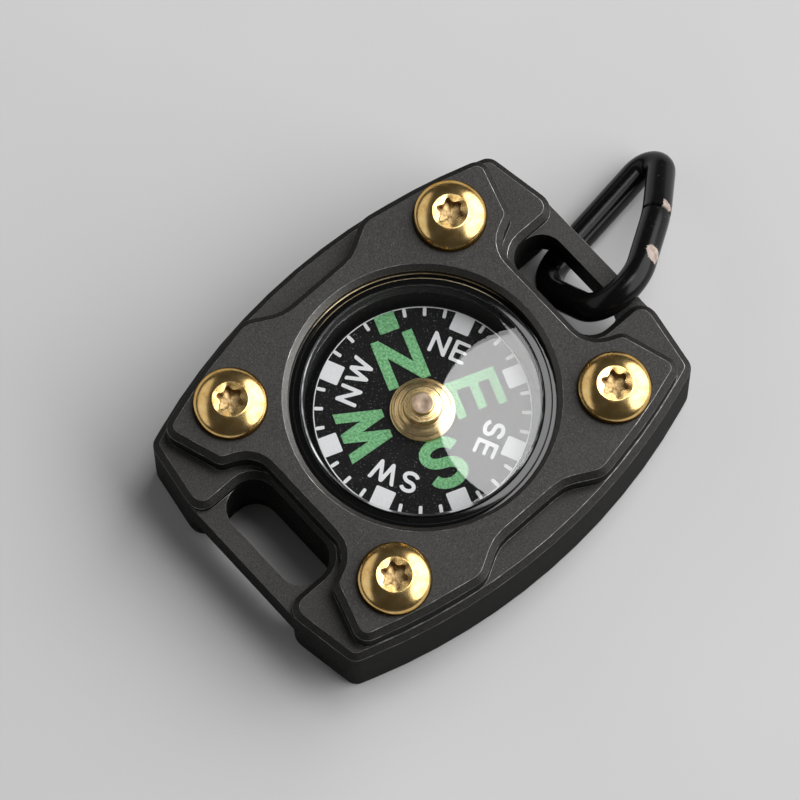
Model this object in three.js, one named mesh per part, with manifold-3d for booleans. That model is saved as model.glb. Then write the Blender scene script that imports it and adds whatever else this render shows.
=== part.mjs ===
import * as THREE from 'three';
import { mergeVertices } from 'three/addons/utils/BufferGeometryUtils.js';
import Module from 'manifold-3d';

// A luminous button compass in a machined metal case, with a wire ring through one end.
// Millimetres. +X runs to the ring end, +Z up out of the window, z = 0 is the back face.

// Compass capsule
const capsuleRadius = 10.65;
const cupWall = 1.85;
const cupFloor = 0.8;
const cupDepth = 4.4;
const cupBossRadius = 1.3;
const cupBossHeight = 1.0;
const rimWidth = 1.6;
const lensThickness = 1.15;
const lensCrown = 0.45;
const lensBevel = 0.3;
const rimThickness = 0.8;
const rimBevel = 0.1;
const rimLensGap = 0.12;
const padThickness = 0.5;
const padEdgeGap = 1.1;

// Case levels, from the back face up
const plateThickness = 2.0;
const barFoot = 3.0;
const lipThickness = 0.9;
const lipOverlap = 0.6;
const windowChamfer = 0.42;
const shoulderDrop = 2.0;
const barDrop = 3.0;
const padChamfer = 0.5;
const shoulderChamfer = 0.5;
const backChamfer = 0.4;

// Case outline
const capsuleClearance = 0.15;
const endWall = 1.66;
const slotWidth = 4.06;
const slotHalfLength = 4.72;
const slotEndFlat = 0.26;
const barWidth = 1.43;
const sideWall = 3.65;
const sideRadius = 47.85;
const cornerRadius = 1.05;
const cornerSetback = 2.35;
const shoulderRadius = 1.3;
const endFlat = 0.25;
const endBendRadius = 1.2;

// Raised pad with four ears
const padSideInset = 1.08;
const padEndInset = 0.86;
const scallopDepth = 2.88;
const scallopHalfLength = 3.43;
const scallopBlend = 3.4;
const earStart = 8.25;
const earShoulderRadius = 1.5;
const earCornerRadius = 0.6;
const earRootRise = 0.62;
const earRootRadius = 2.75;
const earTipSetback = 2.3;
const earTipRise = 1.85;
const earTipRadius = 0.5;
const earEndSetback = 0.9;

// Screws
const screwEndSetback = 1.45;
const screwSideSetback = 5.34;
const threadRadius = 1.5;
const threadClearance = 0.08;
const shankClearance = 0.2;
const headRadius = 2.79;
const headHeight = 1.36;
const headRim = 0.3;
const headFlatRadius = 1.35;
const headSweep = THREE.MathUtils.degToRad(62);
const recessRadius = 0.905;
const recessLobe = 0.145;
const recessLobes = 6;
const recessDepth = 0.8;
const screwTipGap = 0.25;

// Back plate
const plateClearance = 0.15;
const plateEndSetback = 1.36;
const plateEarSetback = 1.7;
const plateEarReach = 2.3;
const plateSideReach = 2.1;
const plateCornerRadius = 1.2;
const plateChamfer = 0.25;

// Card, hub and pivot
const cardEdgeGap = 0.53;
const cardThickness = 0.35;
const cardDrop = 2.15;
const northAngle = 69.3;
const hubRadius = 2.5;
const hubEdge = 0.3;
const hubNeckRadius = 1.45;
const pipRadius = 0.85;
const pipGap = 0.25;
const pipDimple = 0.06;
const spigotRadius = 1.45;
const spigotClearance = 0.06;
const jewelRadius = 0.9;
const jewelHeight = 0.7;
const jewelCupRadius = 0.5;
const jewelCupDepth = 0.4;
const jewelClearance = 0.06;
const hubCrown = 0.5;
const pinRadius = 0.35;
const pinTipLength = 0.7;
const pinTipRadius = 0.05;
const pinTipGap = 0.1;
const magnetLength = 9.0;
const magnetWidth = 1.2;
const magnetHeight = 0.9;
const magnetGap = 0.6;

// Key ring: round wire bent in one sloping plane, with one leg lying on the ground.
// Each corner of the bent wire is [along the grounded leg, up the slope, bend radius].
const wireRadius = 1.15;
const ringSlotGap = 0.56;
const ringSideGap = 0.84;
const ringGroundGap = 0.04;
const ringBarGap = 0.43;
const ringTurn = 7.2;
const ringHeel = [0, 0, 3.0];
const ringTip = [15.05, 0, 1.4];
const ringBow = [9.1, 5.85, 15];
const ringShoulder = [3.5, 9.7, 3.9];
const ringCrook = [-0.45, 9.0, 2.6];
const ringJointGap = 0.15;

// Facets
const arcStep = THREE.MathUtils.degToRad(15);
const longestFacet = 3.0;
const leadShare = 1.5;
const roundSides = 64;
const smallSides = 24;
const wireSides = 14;
const wireSteps = 72;
const domeSteps = 6;
const crownSteps = 5;
const lobeSteps = 8;
const weldDistance = 1e-4;
const shortestFacet = 1e-3;
const cutMargin = 1.0;

// Places that follow from the sizes above
const boreRadius = capsuleRadius + capsuleClearance;
const windowRadius = capsuleRadius - lipOverlap;
const lensRadius = capsuleRadius - rimWidth;
const cupInnerRadius = capsuleRadius - cupWall;
const cardRadius = cupInnerRadius - cardEdgeGap;
const slotInner = boreRadius + endWall;
const slotOuter = slotInner + slotWidth;
const slotEndRadius = (slotWidth - slotEndFlat) / 2;
const halfLength = slotOuter + barWidth;
const halfWidth = boreRadius + sideWall;
const cupFoot = plateThickness + padThickness;
const cupTop = cupFoot + cupFloor + cupDepth;
const lipFoot = cupTop + rimThickness;
const caseHeight = lipFoot + lipThickness;
const shoulderHeight = caseHeight - shoulderDrop;
const barHeight = caseHeight - barDrop;
const cardTop = cupTop - cardDrop;
const cardFoot = cardTop - cardThickness;
const hubTop = cupTop - pipGap;
const screwX = slotInner - screwEndSetback;
const screwY = halfWidth - screwSideSetback;

const wasm = await Module();
wasm.setup();

// Booleans work on closed solids whose shared vertices are merged.
function toSolid(geometry) {
  const bare = geometry.clone();
  bare.deleteAttribute('normal');
  bare.deleteAttribute('uv');
  const merged = mergeVertices(bare, weldDistance);
  const corners = merged.index.array;
  const triangles = [];
  for (let i = 0; i < corners.length; i += 3) {
    const [a, b, c] = corners.slice(i, i + 3);
    if (a !== b && b !== c && c !== a) {
      triangles.push(a, b, c);
    }
  }
  const mesh = new wasm.Mesh({
    numProp: 3,
    vertProperties: Float32Array.from(merged.attributes.position.array),
    triVerts: Uint32Array.from(triangles),
  });
  return new wasm.Manifold(mesh);
}

function toGeometry(solid) {
  const mesh = solid.getMesh();
  const geometry = new THREE.BufferGeometry();
  geometry.setAttribute('position', new THREE.BufferAttribute(mesh.vertProperties, 3));
  geometry.setIndex(new THREE.BufferAttribute(mesh.triVerts, 1));
  geometry.computeVertexNormals();
  return geometry;
}

function cut(body, tools) {
  return tools.reduce((rest, tool) => rest.subtract(toSolid(tool)), toSolid(body));
}

// Points of the arc that rounds one corner [x, y, radius] between its neighbours.
function cornerArc(previous, corner, next) {
  const [x, y, radius] = corner;
  const point = new THREE.Vector2(x, y);
  const towardsPrevious = new THREE.Vector2(previous[0] - x, previous[1] - y).normalize();
  const towardsNext = new THREE.Vector2(next[0] - x, next[1] - y).normalize();
  const halfAngle = towardsPrevious.angleTo(towardsNext) / 2;
  const middle = towardsPrevious.clone().add(towardsNext).normalize();
  const centre = point.clone().addScaledVector(middle, radius / Math.sin(halfAngle));
  const start = point.clone().addScaledVector(towardsPrevious, radius / Math.tan(halfAngle));
  const sweep = Math.PI - 2 * halfAngle;
  const turn = Math.sign(towardsNext.cross(towardsPrevious));
  const steps = Math.ceil(Math.max(sweep / arcStep, (sweep * radius) / longestFacet));
  const arc = [];
  for (let step = 0; step <= steps; step++) {
    arc.push(start.clone().rotateAround(centre, (turn * sweep * step) / steps));
  }
  return arc;
}

// Closed outline through rounded corners, listed anticlockwise.
function roundedOutline(corners) {
  const count = corners.length;
  const points = corners.flatMap((corner, i) =>
    cornerArc(corners[(i + count - 1) % count], corner, corners[(i + 1) % count]));
  return points.filter((point, i) => point.distanceTo(points[(i + 1) % points.length]) > shortestFacet);
}

// One quarter, listed from the X axis to the Y axis, mirrored into all four.
function fourWay(quarter) {
  const mirrored = (signX, signY) => quarter.map(([x, y, radius]) => [signX * x, signY * y, radius]);
  return [
    ...mirrored(1, 1),
    ...mirrored(-1, 1).reverse(),
    ...mirrored(-1, -1),
    ...mirrored(1, -1).reverse(),
  ];
}

// Outline with every edge moved outwards by the same distance.
function offsetOutline(points, distance) {
  const count = points.length;
  return points.map((point, i) => {
    const before = point.clone().sub(points[(i + count - 1) % count]).normalize();
    const after = points[(i + 1) % count].clone().sub(point).normalize();
    const outBefore = new THREE.Vector2(before.y, -before.x);
    const outAfter = new THREE.Vector2(after.y, -after.x);
    const scale = distance / (1 + outBefore.dot(outAfter));
    return point.clone().add(outBefore.add(outAfter).multiplyScalar(scale));
  });
}

// Solid with one outline at several heights: each layer is [height, outward offset].
function layered(outline, layers) {
  const rings = layers.map(([height, offset]) => ({ height, points: offsetOutline(outline, offset) }));
  const count = outline.length;
  const positions = rings.flatMap(({ height, points }) => points.flatMap(({ x, y }) => [x, y, height]));
  const index = [];
  for (let level = 0; level < rings.length - 1; level++) {
    for (let i = 0; i < count; i++) {
      const low = level * count + i;
      const lowNext = level * count + ((i + 1) % count);
      index.push(low, lowNext, lowNext + count, low, lowNext + count, low + count);
    }
  }
  const lastRing = (rings.length - 1) * count;
  for (const [a, b, c] of THREE.ShapeUtils.triangulateShape(rings[0].points, [])) {
    index.push(c, b, a);
  }
  for (const [a, b, c] of THREE.ShapeUtils.triangulateShape(rings.at(-1).points, [])) {
    index.push(lastRing + a, lastRing + b, lastRing + c);
  }
  const geometry = new THREE.BufferGeometry();
  geometry.setAttribute('position', new THREE.Float32BufferAttribute(positions, 3));
  geometry.setIndex(index);
  return geometry;
}

// Turned piece about the Z axis from a profile of [radius, height] points, anticlockwise.
function turned(profile, sides) {
  const points = profile.map(([radius, height]) => new THREE.Vector2(radius, height));
  return new THREE.LatheGeometry(points, sides).rotateX(Math.PI / 2);
}

function cylinder(radius, foot, top, sides) {
  return turned([[0, foot], [radius, foot], [radius, top], [0, top]], sides);
}

// Points [radius, height] of a rounded edge that starts upright and turns through the given sweep.
function roundedEdge(from, to, sweep, steps) {
  const points = [];
  for (let step = 0; step <= steps; step++) {
    const angle = (step / steps) * sweep;
    const across = (1 - Math.cos(angle)) / (1 - Math.cos(sweep));
    const up = Math.sin(angle) / Math.sin(sweep);
    points.push([from[0] + (to[0] - from[0]) * across, from[1] + (to[1] - from[1]) * up]);
  }
  return points;
}

// Part of the bulging long side between two places along X, as three corners of an outline:
// the bulge itself and a rounded corner at each end, which a short straight lead leaves room for.
function sideCorners(radius, near, far, radiusNear, radiusFar) {
  const centreY = halfWidth - sideRadius;
  const angleNear = Math.asin(near / radius);
  const angleFar = Math.asin(far / radius);
  const middle = (angleNear + angleFar) / 2;
  const reach = radius / Math.cos((angleFar - angleNear) / 2);
  const beyond = (angle, lead) => [
    radius * Math.sin(angle) + lead * Math.cos(angle),
    centreY + radius * Math.cos(angle) - lead * Math.sin(angle),
  ];
  return {
    far: [...beyond(angleFar, leadShare * radiusFar), radiusFar],
    bulge: [reach * Math.sin(middle), centreY + reach * Math.cos(middle), radius],
    near: [...beyond(angleNear, -leadShare * radiusNear), radiusNear],
  };
}

const named = (name, geometry, material) => {
  const mesh = new THREE.Mesh(geometry, material);
  mesh.name = name;
  return mesh;
};

// Finishes
const finish = (color, roughness, metalness) =>
  new THREE.MeshStandardMaterial({ color, roughness, metalness });
const blastedMetal = finish(0x4a4a48, 0.55, 0.8);
const polishedBrass = finish(0xd9a441, 0.18, 1.0);
const blackGloss = finish(0x0b0b0b, 0.15, 0.0);
const blackWire = finish(0x101010, 0.2, 0.6);
const clearCrystal = new THREE.MeshStandardMaterial({
  color: 0xf2f5f5, roughness: 0.05, metalness: 0.0, transparent: true, opacity: 0.3,
});
const blackRubber = finish(0x181818, 0.9, 0.0);
const cardBlack = finish(0x121314, 0.7, 0.0);
const steel = finish(0x9b9ea1, 0.3, 1.0);
const redJewel = finish(0xa33a4a, 0.1, 0.0);
const magnetGrey = finish(0x6f7175, 0.4, 0.9);

// Case

function notchedOutline() {
  const side = sideCorners(sideRadius, 0, halfLength - cornerSetback, 0, cornerRadius);
  return roundedOutline(fourWay([
    [slotInner, slotHalfLength, slotEndRadius],
    [halfLength, slotHalfLength, shoulderRadius],
    [halfLength, slotHalfLength + shoulderRadius + endFlat, endBendRadius],
    side.far,
    side.bulge,
  ]));
}

function padOutline() {
  const earRadius = sideRadius - padSideInset;
  const earFar = halfLength - cornerSetback - earEndSetback;
  const side = sideCorners(earRadius, earStart, earFar, earShoulderRadius, earCornerRadius);
  return roundedOutline(fourWay([
    [slotInner - padEndInset, slotHalfLength + earRootRise, earRootRadius],
    [slotOuter - earTipSetback, slotHalfLength + earTipRise, earTipRadius],
    side.far,
    side.bulge,
    side.near,
    [scallopHalfLength, halfWidth - scallopDepth, scallopBlend],
  ]));
}

function plateOutline() {
  const earGap = slotHalfLength + plateEarSetback;
  const earEnd = screwX + plateEarReach;
  return roundedOutline(fourWay([
    [slotInner - plateEndSetback, earGap, plateCornerRadius],
    [earEnd, earGap, plateCornerRadius / 2],
    [earEnd, screwY + plateSideReach, plateCornerRadius],
  ]));
}

function barOutline(side) {
  const barHalf = slotHalfLength + shoulderRadius;
  const inside = slotOuter - slotEndRadius;
  const corners = [[inside, -barHalf], [halfLength, -barHalf], [halfLength, barHalf], [inside, barHalf]];
  const points = corners.map(([x, y]) => new THREE.Vector2(side * x, y));
  return side > 0 ? points : points.reverse();
}

function slotOutline(side) {
  const middle = (side * (slotInner + slotOuter)) / 2;
  const halfSlot = slotWidth / 2;
  return roundedOutline([
    [middle + halfSlot, slotHalfLength, slotEndRadius],
    [middle - halfSlot, slotHalfLength, slotEndRadius],
    [middle - halfSlot, -slotHalfLength, slotEndRadius],
    [middle + halfSlot, -slotHalfLength, slotEndRadius],
  ]);
}

const screwPlaces = [[1, 1], [1, -1], [-1, -1], [-1, 1]].map(([x, y]) => [x * screwX, y * screwY]);

function caseBody() {
  const block = layered(notchedOutline(), [
    [0, -backChamfer],
    [backChamfer, 0],
    [shoulderHeight - shoulderChamfer, 0],
    [shoulderHeight, -shoulderChamfer],
  ]);
  const pad = layered(padOutline(), [
    [barHeight, padChamfer],
    [caseHeight - padChamfer, padChamfer],
    [caseHeight, 0],
  ]);
  let body = toSolid(block).add(toSolid(pad));
  for (const side of [1, -1]) {
    const bar = layered(barOutline(side), [[barFoot, 0], [barHeight, 0]]);
    const slot = layered(slotOutline(side), [[-cutMargin, 0], [barHeight, 0]]);
    body = body.add(toSolid(bar)).subtract(toSolid(slot));
  }
  const window = turned([
    [0, 0],
    [boreRadius, 0],
    [boreRadius, lipFoot],
    [windowRadius, lipFoot],
    [windowRadius, caseHeight - windowChamfer],
    [windowRadius + windowChamfer + cutMargin, caseHeight + cutMargin],
    [0, caseHeight + cutMargin],
  ], roundSides);
  const recess = layered(plateOutline(), [[-cutMargin, plateClearance], [plateThickness, plateClearance]]);
  body = body.subtract(toSolid(window)).subtract(toSolid(recess));
  for (const [x, y] of screwPlaces) {
    const hole = cylinder(threadRadius + shankClearance, 0, caseHeight + cutMargin, smallSides);
    body = body.subtract(toSolid(hole.translate(x, y, 0)));
  }
  return toGeometry(body);
}

function backPlate() {
  const plate = layered(plateOutline(), [
    [0, -plateChamfer],
    [plateChamfer, 0],
    [plateThickness, 0],
  ]);
  const holes = screwPlaces.map(([x, y]) =>
    cylinder(threadRadius + threadClearance, -cutMargin, plateThickness + cutMargin, smallSides)
      .translate(x, y, 0));
  return toGeometry(cut(plate, holes));
}

function caseScrew() {
  const headTop = caseHeight + headHeight;
  const dome = roundedEdge(
    [headRadius, caseHeight + headRim], [headFlatRadius, headTop], headSweep, domeSteps);
  const blank = turned([
    [0, screwTipGap],
    [threadRadius - screwTipGap, screwTipGap],
    [threadRadius, 2 * screwTipGap],
    [threadRadius, caseHeight],
    [headRadius, caseHeight],
    ...dome,
    [0, headTop],
  ], smallSides);
  const lobes = [];
  const steps = recessLobes * lobeSteps;
  for (let step = 0; step < steps; step++) {
    const angle = (step / steps) * 2 * Math.PI;
    const radius = recessRadius + recessLobe * Math.cos(recessLobes * angle);
    lobes.push(new THREE.Vector2(radius * Math.cos(angle), radius * Math.sin(angle)));
  }
  const recess = layered(lobes, [[headTop - recessDepth, 0], [headTop + cutMargin, 0]]);
  return toGeometry(cut(blank, [recess]));
}

// Capsule

function capsuleRim() {
  const inner = lensRadius + rimLensGap;
  return turned([
    [inner, cupTop],
    [capsuleRadius, cupTop],
    [capsuleRadius, lipFoot],
    [inner + rimBevel, lipFoot],
    [inner, lipFoot - rimBevel],
    [inner, cupTop],
  ], roundSides);
}

function capsuleLens() {
  const edgeTop = cupTop + lensThickness;
  const crownRadius = lensRadius - lensBevel;
  const crownFrom = (foot) => {
    const points = [];
    for (let step = 0; step <= crownSteps; step++) {
      const share = step / crownSteps;
      points.push([crownRadius * share, foot + lensCrown * (1 - share ** 2)]);
    }
    return points;
  };
  return turned([
    ...crownFrom(cupTop),
    [lensRadius, cupTop],
    [lensRadius, edgeTop - lensBevel],
    ...crownFrom(edgeTop).reverse(),
  ], roundSides);
}

function capsuleCup() {
  const floorTop = cupFoot + cupFloor;
  const bossTop = floorTop + cupBossHeight;
  const socket = pinRadius + spigotClearance;
  const socketFoot = cupFoot + cupFloor / 2;
  return turned([
    [0, cupFoot],
    [capsuleRadius, cupFoot],
    [capsuleRadius, cupTop],
    [cupInnerRadius, cupTop],
    [cupInnerRadius, floorTop],
    [cupBossRadius, floorTop],
    [cupBossRadius, bossTop],
    [socket, bossTop],
    [socket, socketFoot],
    [0, socketFoot],
  ], roundSides);
}

function capsulePad() {
  return cylinder(capsuleRadius - padEdgeGap, plateThickness, cupFoot, roundSides);
}

// Card and pivot

const jewelTop = hubTop - hubCrown;
const jewelFoot = jewelTop - jewelHeight;
const pinTop = jewelFoot + jewelCupDepth - pinTipGap;

function pivotPin() {
  return turned([
    [0, cupFoot + cupFloor / 2],
    [pinRadius, cupFoot + cupFloor / 2],
    [pinRadius, pinTop - pinTipLength],
    [pinTipRadius, pinTop],
    [0, pinTop],
  ], smallSides);
}

function compassCard() {
  const hole = spigotRadius + spigotClearance;
  return turned([
    [hole, cardFoot],
    [cardRadius, cardFoot],
    [cardRadius, cardTop],
    [hole, cardTop],
    [hole, cardFoot],
  ], roundSides);
}

function hubCap() {
  const bore = jewelRadius + jewelClearance;
  const neckFoot = cardTop + hubEdge + (hubRadius - hubNeckRadius) / 2;
  const neckTop = neckFoot + (hubTop - neckFoot) / 2;
  return turned([
    [0, jewelTop],
    [bore, jewelTop],
    [bore, cardFoot],
    [spigotRadius, cardFoot],
    [spigotRadius, cardTop],
    [hubRadius, cardTop],
    [hubRadius, cardTop + hubEdge],
    [hubNeckRadius, neckFoot],
    [hubNeckRadius, neckTop],
    [pipRadius, neckTop + (hubNeckRadius - pipRadius) / 2],
    [pipRadius, hubTop],
    [pipRadius / 2, hubTop],
    [0, hubTop - pipDimple],
  ], smallSides);
}

function jewelBearing() {
  return turned([
    [0, jewelFoot + jewelCupDepth],
    [jewelCupRadius, jewelFoot],
    [jewelRadius, jewelFoot],
    [jewelRadius, jewelTop],
    [0, jewelTop],
  ], smallSides);
}

function barMagnet(side) {
  const away = cupBossRadius + magnetGap + magnetWidth / 2;
  const magnet = new THREE.BoxGeometry(magnetWidth, magnetLength, magnetHeight);
  return magnet.translate(side * away, 0, cardFoot - magnetHeight / 2);
}

// Key ring

// Middle line of the wire, flat in its own plane, with a butt joint in the middle of the bow.
function ringPath() {
  const bow = cornerArc(ringTip, ringBow, ringShoulder);
  const joint = bow[0].clone().lerp(bow.at(-1), 0.5);
  const halfGap = bow.at(-1).clone().sub(bow[0]).setLength(ringJointGap / 2);
  return [
    joint.clone().add(halfGap),
    bow.at(-1),
    ...cornerArc(ringBow, ringShoulder, ringCrook),
    ...cornerArc(ringShoulder, ringCrook, ringHeel),
    ...cornerArc(ringCrook, ringHeel, ringTip),
    ...cornerArc(ringHeel, ringTip, ringBow),
    bow[0],
    joint.clone().sub(halfGap),
  ];
}

function keyRing(path) {
  const line = new THREE.CatmullRomCurve3(path.map(({ x, y }) => new THREE.Vector3(x, -y, 0)));
  const section = new THREE.Shape().absarc(0, 0, wireRadius, 0, 2 * Math.PI);
  return new THREE.ExtrudeGeometry(section, {
    steps: wireSteps,
    curveSegments: wireSides / 2,
    bevelEnabled: false,
    extrudePath: line,
  });
}

// Assembly

const compass = new THREE.Group();
compass.add(
  named('case_body', caseBody(), blastedMetal),
  named('back_plate', backPlate(), blastedMetal),
  named('capsule_pad', capsulePad(), blackRubber),
  named('capsule_cup', capsuleCup(), blackGloss),
  named('capsule_rim', capsuleRim(), blackGloss),
  named('capsule_lens', capsuleLens(), clearCrystal),
  named('pivot_pin', pivotPin(), steel),
);

screwPlaces.forEach(([x, y], i) => {
  const screw = named(`case_screw_${i + 1}`, caseScrew(), polishedBrass);
  screw.position.set(x, y, 0);
  compass.add(screw);
});

const card = new THREE.Group();
card.rotation.z = THREE.MathUtils.degToRad(northAngle - 90);
card.add(
  named('compass_card', compassCard(), cardBlack),
  named('hub_cap', hubCap(), polishedBrass),
  named('jewel_bearing', jewelBearing(), redJewel),
  named('magnet_1', barMagnet(1), magnetGrey),
  named('magnet_2', barMagnet(-1), magnetGrey),
);
compass.add(card);

// The ring slopes up from the ground until its upper leg just clears the end bar.
const wirePath = ringPath();
const ringSpan = Math.max(...wirePath.map(({ y }) => y));
const ringTilt = Math.asin((barHeight + ringBarGap - ringGroundGap) / ringSpan);
const ring = new THREE.Group();
ring.rotation.set(-ringTilt, 0, THREE.MathUtils.degToRad(ringTurn), 'ZYX');
ring.position.set(
  slotInner + wireRadius + ringSlotGap,
  slotHalfLength - wireRadius - ringSideGap,
  wireRadius + ringGroundGap,
);
ring.add(named('key_ring', keyRing(wirePath), blackWire));
compass.add(ring);

export default compass;
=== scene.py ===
import math

import bmesh
import bpy
from mathutils import Matrix, Vector


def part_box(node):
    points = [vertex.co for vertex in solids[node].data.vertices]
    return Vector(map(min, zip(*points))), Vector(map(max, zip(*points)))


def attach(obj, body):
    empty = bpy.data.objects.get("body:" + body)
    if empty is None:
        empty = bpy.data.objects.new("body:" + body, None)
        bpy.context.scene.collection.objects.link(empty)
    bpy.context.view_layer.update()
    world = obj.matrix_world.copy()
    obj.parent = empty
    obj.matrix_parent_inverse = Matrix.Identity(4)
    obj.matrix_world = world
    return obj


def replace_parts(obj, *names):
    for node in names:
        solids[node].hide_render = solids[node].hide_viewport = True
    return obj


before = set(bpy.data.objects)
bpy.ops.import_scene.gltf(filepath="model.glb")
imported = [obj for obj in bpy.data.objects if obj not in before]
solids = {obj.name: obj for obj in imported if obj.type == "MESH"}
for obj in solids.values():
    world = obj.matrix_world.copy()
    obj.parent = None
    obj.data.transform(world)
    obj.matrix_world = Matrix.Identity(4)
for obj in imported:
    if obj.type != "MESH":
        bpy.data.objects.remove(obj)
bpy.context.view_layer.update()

# A luminous button compass: its finishes, fine turned pieces, dial marks and wire ring, on a pale floor.
# Sizes are in millimetres and angles in degrees. MM turns millimetres into scene metres.
MM = 0.001

# Camera: bearings run anticlockwise from the picture's right, and the camera stands at its foot
VIEW_AZIMUTH = -42.09
VIEW_BEARING = -90.0
VIEW_ELEVATION = 72.43
VIEW_DISTANCE = 471.15
VIEW_LENS = 285.2
VIEW_SENSOR = 36.0
VIEW_SHIFT = (-0.02825, -0.00425)
VIEW_NEAR = 10.0

# Floor and lights: glow is how bright the face of a light is
FLOOR_HALF = 1500.0
FLOOR_DROP = 0.03
SKY_GLOW = 0.05
GLASS_LIGHT = {
    "bearing": 52.0, "elevation": 70.5, "distance": 700.0, "width": 252.0, "tall": 252.0, "glow": 5.6}
RIGHT_LIGHT = {
    "bearing": 14.0, "elevation": 36.0, "distance": 750.0, "width": 1400.0, "tall": 950.0, "glow": 3.2}
LEFT_LIGHT = {
    "bearing": 168.0, "elevation": 32.0, "distance": 800.0, "width": 1600.0, "tall": 500.0, "glow": 0.65}

# Colours, as linear red, green, blue and alpha
BLASTED_DARK = (0.048, 0.0465, 0.0445, 1)
BLASTED_LIGHT = (0.083, 0.081, 0.078, 1)
# Darker colours for the case's sloped and upright faces are painted shade
SHADED_SLOPE_DARK = (0.033, 0.032, 0.031, 1)
SHADED_SLOPE_LIGHT = (0.06, 0.0585, 0.0565, 1)
CHAMFER_DARK = (0.1, 0.098, 0.093, 1)
CHAMFER_LIGHT = (0.145, 0.142, 0.135, 1)
BARE_DARK = (0.2, 0.195, 0.185, 1)
BARE_LIGHT = (0.5, 0.485, 0.46, 1)
LIP_GOLD = (0.8, 0.68, 0.46, 1)
SCREW_DEEP = (0.86, 0.54, 0.185, 1)
SCREW_PALE = (0.95, 0.675, 0.29, 1)
SCREW_TARNISH = (0.52, 0.26, 0.07, 1)
# Darker colour for the screw dome's steep flanks is a painted dark reflection
SCREW_FLANK_SHADE = (0.3, 0.17, 0.045, 1)
SCREW_GRAZE = (0.25, 0.14, 0.05, 1)
SOCKET_DARK = (0.3, 0.18, 0.065, 1)
SOCKET_LIGHT = (0.72, 0.52, 0.26, 1)
HUB_DARK = (0.74, 0.47, 0.17, 1)
HUB_LIGHT = (1.0, 0.81, 0.46, 1)
HUB_STAIN = (0.42, 0.23, 0.08, 1)
# The pip top's grey-brown colours are a painted dark reflection
PIP_SHADED_DARK = (0.2, 0.145, 0.105, 1)
PIP_SHADED_LIGHT = (0.3, 0.23, 0.175, 1)
# Colours of a brass-coloured metal patch on the rim's upper left
GOLD_PATCH_DARK = (0.8, 0.61, 0.35, 1)
GOLD_PATCH_LIGHT = (0.98, 0.86, 0.6, 1)
LUME_DARK = (0.095, 0.32, 0.12, 1)
LUME_LIGHT = (0.275, 0.61, 0.31, 1)
PRINT_DARK = (0.78, 0.79, 0.805, 1)
PRINT_LIGHT = (0.87, 0.88, 0.89, 1)
SCUFF_BROWN = (0.05, 0.038, 0.03, 1)
CHIP_DARK = (0.3, 0.23, 0.19, 1)
CHIP_LIGHT = (0.55, 0.46, 0.41, 1)
JEWEL_DARK = (0.28, 0.02, 0.04, 1)
JEWEL_LIGHT = (0.5, 0.07, 0.1, 1)

# Grain of the finishes: the part of a noise that a mottle uses, and how softly specks end
NOISE_ROUGHNESS = 0.6
RINGS_DETAIL = 2.0
MOTTLE_LOW = 0.3
MOTTLE_HIGH = 0.7
SPECK_FADE = 0.06

# Edges of the machined pieces; the rounding of a corner takes at most EASE_LIMIT of each side
WELD = 0.001
FLAT_ANGLE = 1.0
SHARP_ANGLE = 26.0
EDGE_WIDTH = 0.08
EDGE_SEGMENTS = 2
TURNED_SIDES = 144
EASE_STEPS = 4
EASE_LIMIT = 0.45

# Screws: a plain shank under a domed head with a lobed socket
SCREWS = 4
SHANK_RADIUS = 1.5
SHANK_CHAMFER = 0.25
HEAD_RIM = 0.3
HEAD_EDGE = 0.1
HEAD_FLAT = 1.37
HEAD_SWEEP = 62.0
HEAD_DISH = 0.03
HEAD_LIP = 0.02
DOME_STEPS = 14
LOBES = 6
LOBE_INNER = 0.74
LOBE_OUTER = 1.05
LOBE_SHARPNESS = 1.3
LOBE_EDGE = 0.04
LOBE_DEPTH = 0.8
LOBE_CONE = 0.12

# Crystal, window and rim; a fade is the width over which one finish passes into another
CRYSTAL_BEVEL = 0.12
CRYSTAL_SEAT = 0.28
CRYSTAL_GAP = 0.01
CRYSTAL_CROWN = 0.45
CROWN_STEPS = 24
WINDOW_RADIUS = 10.05
WINDOW_CHAMFER = 0.42
WINDOW_FADE = 0.03
LIP_WIDTH = 0.1
LIP_FADE = 0.05
RIM_GAP = 0.03
RIM_LAND = 0.59
RIM_FALL = 0.06
RIM_STEP = 0.06
RIM_EDGE = 0.08
GOLD_PATCH_SPOT = (5.3, 8.5, 8.4)
GOLD_PATCH_REACH = 6.0
GOLD_PATCH_FADE = 4.0

# Hub: a grooved flange, a neck and a pip with a dull top, darker as a painted dark reflection
HUB_EDGE = 0.3
HUB_SLOPE = 0.5
HUB_NECK = 1.45
HUB_PIP = 0.85
HUB_DIMPLE = 0.06
DULL_SHADED_INSET = 0.1
DULL_SHADED_FADE = 0.05
HUB_SPIGOT = 1.45
HUB_BORE = 0.96
HUB_CROWN = 0.5
HUB_ROUND = 0.1
HUB_NECK_SHARE = 0.65
HUB_SHOULDER = 0.06
GROOVES = 2
GROOVE_DEPTH = 0.025
GROOVE_START = 0.25
GROOVE_FLOOR = 0.4

# Dial: NORTH is where north lies, and squares, ticks and line are placed by their distance from the middle
NORTH = 69.3
DIRECTIONS = 8
EIGHTH = 360 / DIRECTIONS
MARK_HEIGHT = 0.03
LETTER_HEIGHT = 0.05
MARK_ROUND = 0.12
SQUARE_WIDTH = 1.56
SQUARE_INNER = 6.66
SQUARE_OUTER = 8.12
TICK_WIDTH = 0.27
TICK_INNER = 7.42
TICKS_BETWEEN = 3
RIM_LINE_INNER = 8.1
RIM_LINE_OUTER = 8.17
RIM_LINE_HEIGHT = 0.015

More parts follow.
